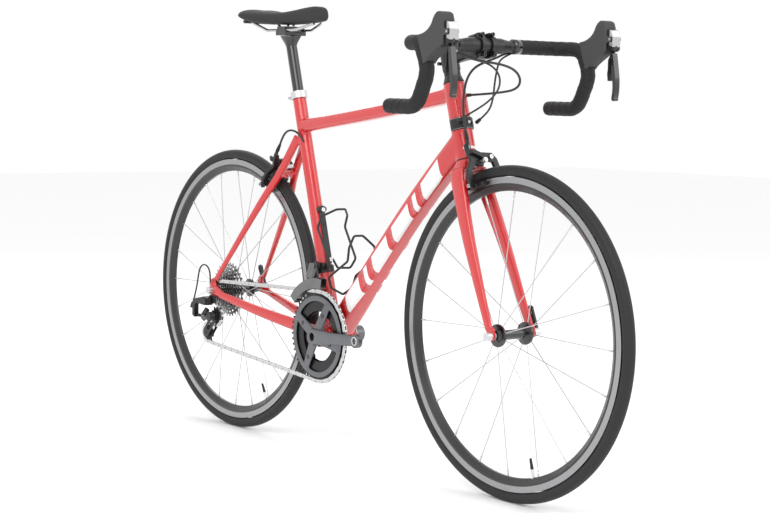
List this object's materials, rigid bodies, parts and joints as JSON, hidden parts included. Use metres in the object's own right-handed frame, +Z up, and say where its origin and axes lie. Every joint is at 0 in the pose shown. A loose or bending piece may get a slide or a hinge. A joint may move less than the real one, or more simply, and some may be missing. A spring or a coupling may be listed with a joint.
{
  "type": "road bicycle",
  "caption": "Red road bicycle with drop handlebar, double chainset, rim brakes, quick-release wheels, two bottle cages and bare crank arms.",
  "frame": {"origin": "on the ground midway between the wheel axles", "axes": "+X forward, +Y to the rider's left, +Z up; steering straight"},
  "size_m": [1.67, 0.454, 1.005],
  "materials": {
    "red_paint": "gloss",
    "black_paint": "satin",
    "black_plastic": "matte",
    "tape": "matte",
    "hood_rubber": "matte",
    "saddle_skin": "matte",
    "steel": "brushed",
    "chrome": "polished",
    "tyre": "matte",
    "rim_alloy": "machined",
    "graphite": "satin",
    "silver_alloy": "satin",
    "chain_steel": "polished",
    "housing": "satin"
  },
  "bodies": {
    "frame": {"head_tube": "red_paint", "seat_tube": "red_paint", "top_tube": "red_paint", "down_tube": "red_paint", "rear_stays": "red_paint", "frame_hardware": "silver_alloy", "rear_axle": "silver_alloy", "rear_brake_mount": "black_paint", "rear_derailleur_base": "black_paint", "front_derailleur_base": "black_paint", "bottle_cages": "black_paint", "chain": "chain_steel", "rear_gear_housing": "housing", "rear_brake_housing": "housing", "rear_brake_front_housing": "housing", "right_gear_housing": "housing", "left_gear_housing": "housing"},
    "seatpost": {"seatpost": "black_paint"},
    "saddle": {"saddle_cover": "saddle_skin", "saddle_rails": "silver_alloy"},
    "steering": {"fork": "red_paint", "headset": "black_paint", "stem": "black_paint", "stem_faceplate": "black_paint", "handlebar": "black_paint", "bar_tape": "tape", "hoods": "hood_rubber", "front_axle": "silver_alloy", "front_brake_mount": "black_paint", "front_brake_housing": "housing"},
    "front_wheel": {"front_tyre": "tyre", "front_rim": "rim_alloy", "front_hub": "black_paint", "front_spokes": "steel"},
    "rear_wheel": {"rear_tyre": "tyre", "rear_rim": "rim_alloy", "rear_hub": "black_paint", "rear_spokes": "steel"},
    "left_lever": {"lever_head_left": "silver_alloy"},
    "right_lever": {"lever_head_right": "silver_alloy"},
    "left_blade": {"brake_lever_left": "black_paint"},
    "right_blade": {"brake_lever_right": "black_paint"},
    "left_paddle": {"shift_paddle_left": "black_paint"},
    "right_paddle": {"shift_paddle_right": "black_paint"},
    "front_cable_arm": {"front_brake_cable_arm": "black_paint"},
    "front_pivot_arm": {"front_brake_pivot_arm": "black_paint"},
    "rear_cable_arm": {"rear_brake_cable_arm": "black_paint"},
    "rear_pivot_arm": {"rear_brake_pivot_arm": "black_paint"},
    "crank": {"crank_arm_right": "graphite", "crank_arm_left": "graphite", "chainrings": "graphite"},
    "cassette": {"cassette": "chain_steel"},
    "derailleur_link": {"rear_derailleur_link": "black_paint"},
    "derailleur_knuckle": {"rear_derailleur_knuckle": "black_paint"},
    "derailleur_cage": {"rear_derailleur_cage": "black_paint"},
    "guide_pulley": {"guide_pulley": "black_plastic"},
    "tension_pulley": {"tension_pulley": "black_plastic"},
    "front_shift_cage": {"front_derailleur_cage": "chain_steel"},
    "front_quick_lever": {"front_quick_lever": "black_paint"},
    "rear_quick_lever": {"rear_quick_lever": "black_paint"}
  },
  "joints": [
    {"name": "seatpost_slide", "type": "slide", "parent": "frame", "child": "seatpost", "axis": [-0.2756, 0, 0.9613], "range_m": [-0.08, 0.02]},
    {"name": "saddle_slide", "type": "slide", "parent": "seatpost", "child": "saddle", "axis": [1, 0, 0], "range_m": [-0.012, 0.012]},
    {"name": "steering_turn", "type": "hinge", "parent": "frame", "child": "steering", "pos_m": [0.32805, 0, 0.75469], "axis": [-0.284, 0, 0.9588], "range_deg": [-60, 60], "deforming": ["rear_brake_front_housing", "right_gear_housing", "left_gear_housing"]},
    {"name": "front_wheel_spin", "type": "hinge", "parent": "steering", "child": "front_wheel", "pos_m": [0.499, 0, 0.336], "axis": [0, 1, 0], "continuous": true},
    {"name": "rear_wheel_spin", "type": "hinge", "parent": "frame", "child": "rear_wheel", "pos_m": [-0.499, 0, 0.336], "axis": [0, 1, 0], "continuous": true},
    {"name": "left_lever_pull", "type": "hinge", "parent": "steering", "child": "left_lever", "pos_m": [0.54901, 0.212, 0.92405], "axis": [0, 1, 0], "range_deg": [0, 18], "stiffness_Nm_per_rad": 1, "springref_deg": -17.19},
    {"name": "left_blade_push", "type": "hinge", "parent": "left_lever", "child": "left_blade", "pos_m": [0.55101, 0.212, 0.90705], "axis": [-1, 0, 0], "range_deg": [0, 12], "stiffness_Nm_per_rad": 0.3, "springref_deg": -17.19},
    {"name": "left_paddle_push", "type": "hinge", "parent": "left_lever", "child": "left_paddle", "pos_m": [0.54401, 0.212, 0.90705], "axis": [-1, 0, 0], "range_deg": [0, 15], "stiffness_Nm_per_rad": 0.2, "springref_deg": -17.19},
    {"name": "right_lever_pull", "type": "hinge", "parent": "steering", "child": "right_lever", "pos_m": [0.54901, -0.212, 0.92405], "axis": [0, 1, 0], "range_deg": [0, 18], "stiffness_Nm_per_rad": 1, "springref_deg": -17.19},
    {"name": "right_blade_push", "type": "hinge", "parent": "right_lever", "child": "right_blade", "pos_m": [0.55101, -0.212, 0.90705], "axis": [1, 0, 0], "range_deg": [0, 12], "stiffness_Nm_per_rad": 0.3, "springref_deg": -17.19},
    {"name": "right_paddle_push", "type": "hinge", "parent": "right_lever", "child": "right_paddle", "pos_m": [0.54401, -0.212, 0.90705], "axis": [1, 0, 0], "range_deg": [0, 15], "stiffness_Nm_per_rad": 0.2, "springref_deg": -17.19},
    {"name": "front_cable_arm_close", "type": "hinge", "parent": "steering", "child": "front_cable_arm", "pos_m": [0.3765, 0, 0.66996], "axis": [0.9588, 0, 0.284], "range_deg": [0, 2.03], "deforming": ["front_brake_housing"]},
    {"name": "front_pivot_arm_close", "type": "hinge", "parent": "steering", "child": "front_pivot_arm", "pos_m": [0.37452, 0.019, 0.67667], "axis": [0.9588, 0, 0.284], "range_deg": [-1.8, 0]},
    {"name": "rear_cable_arm_close", "type": "hinge", "parent": "frame", "child": "rear_cable_arm", "pos_m": [-0.30063, 0, 0.6269], "axis": [0.8125, 0, -0.583], "range_deg": [0, 2.03], "deforming": ["rear_brake_housing"]},
    {"name": "rear_pivot_arm_close", "type": "hinge", "parent": "frame", "child": "rear_pivot_arm", "pos_m": [-0.29655, 0.019, 0.63259], "axis": [0.8125, 0, -0.583], "range_deg": [-1.8, 0]},
    {"name": "crank_turn", "type": "hinge", "parent": "frame", "child": "crank", "pos_m": [-0.09265, 0, 0.268], "axis": [0, 1, 0], "continuous": true, "deforming": ["chain"]},
    {"name": "cassette_spin", "type": "hinge", "parent": "frame", "child": "cassette", "pos_m": [-0.499, 0, 0.336], "axis": [0, 1, 0], "continuous": true},
    {"name": "shift_link_swing", "type": "hinge", "parent": "frame", "child": "derailleur_link", "pos_m": [-0.5396, -0.0635, 0.267], "axis": [0, 0.6292, 0.7772], "range_deg": [0, 76], "stiffness_Nm_per_rad": 1, "springref_deg": -17.19},
    {"name": "shift_knuckle_swing", "type": "hinge", "parent": "derailleur_link", "child": "derailleur_knuckle", "pos_m": [-0.51, -0.082, 0.282], "axis": [0, 0.6292, 0.7772], "range_deg": [-76, 0]},
    {"name": "chain_cage_swing", "type": "hinge", "parent": "derailleur_knuckle", "child": "derailleur_cage", "pos_m": [-0.4915, -0.0606, 0.273], "axis": [0, 1, 0], "range_deg": [-30, 5], "stiffness_Nm_per_rad": 0.5},
    {"name": "guide_pulley_spin", "type": "hinge", "parent": "derailleur_cage", "child": "guide_pulley", "pos_m": [-0.4915, -0.0606, 0.273], "axis": [0, 1, 0], "continuous": true},
    {"name": "tension_pulley_spin", "type": "hinge", "parent": "derailleur_cage", "child": "tension_pulley", "pos_m": [-0.5279, -0.0606, 0.23044], "axis": [0, 1, 0], "continuous": true},
    {"name": "front_shift_swing", "type": "hinge", "parent": "frame", "child": "front_shift_cage", "pos_m": [-0.1357, -0.032, 0.424], "axis": [1, 0, 0], "range_deg": [0, 9.5]},
    {"name": "front_quick_release", "type": "hinge", "parent": "steering", "child": "front_quick_lever", "pos_m": [0.499, 0.0663, 0.336], "axis": [-0.9074, 0, -0.4202], "range_deg": [0, 170]},
    {"name": "rear_quick_release", "type": "hinge", "parent": "frame", "child": "rear_quick_lever", "pos_m": [-0.499, 0.0813, 0.336], "axis": [-0.9074, 0, -0.4202], "range_deg": [0, 170]}
  ],
  "couplings": [
    {"joint": "front_cable_arm_close", "follows": "left_lever_pull", "ratio": 0.112},
    {"joint": "front_pivot_arm_close", "follows": "left_lever_pull", "ratio": -0.099},
    {"joint": "rear_cable_arm_close", "follows": "right_lever_pull", "ratio": 0.112},
    {"joint": "rear_pivot_arm_close", "follows": "right_lever_pull", "ratio": -0.099},
    {"joint": "cassette_spin", "follows": "crank_turn", "ratio": 4.5454},
    {"joint": "guide_pulley_spin", "follows": "crank_turn", "ratio": -4.5454},
    {"joint": "tension_pulley_spin", "follows": "crank_turn", "ratio": 4.5454},
    {"joint": "shift_knuckle_swing", "follows": "shift_link_swing", "ratio": -1}
  ]
}
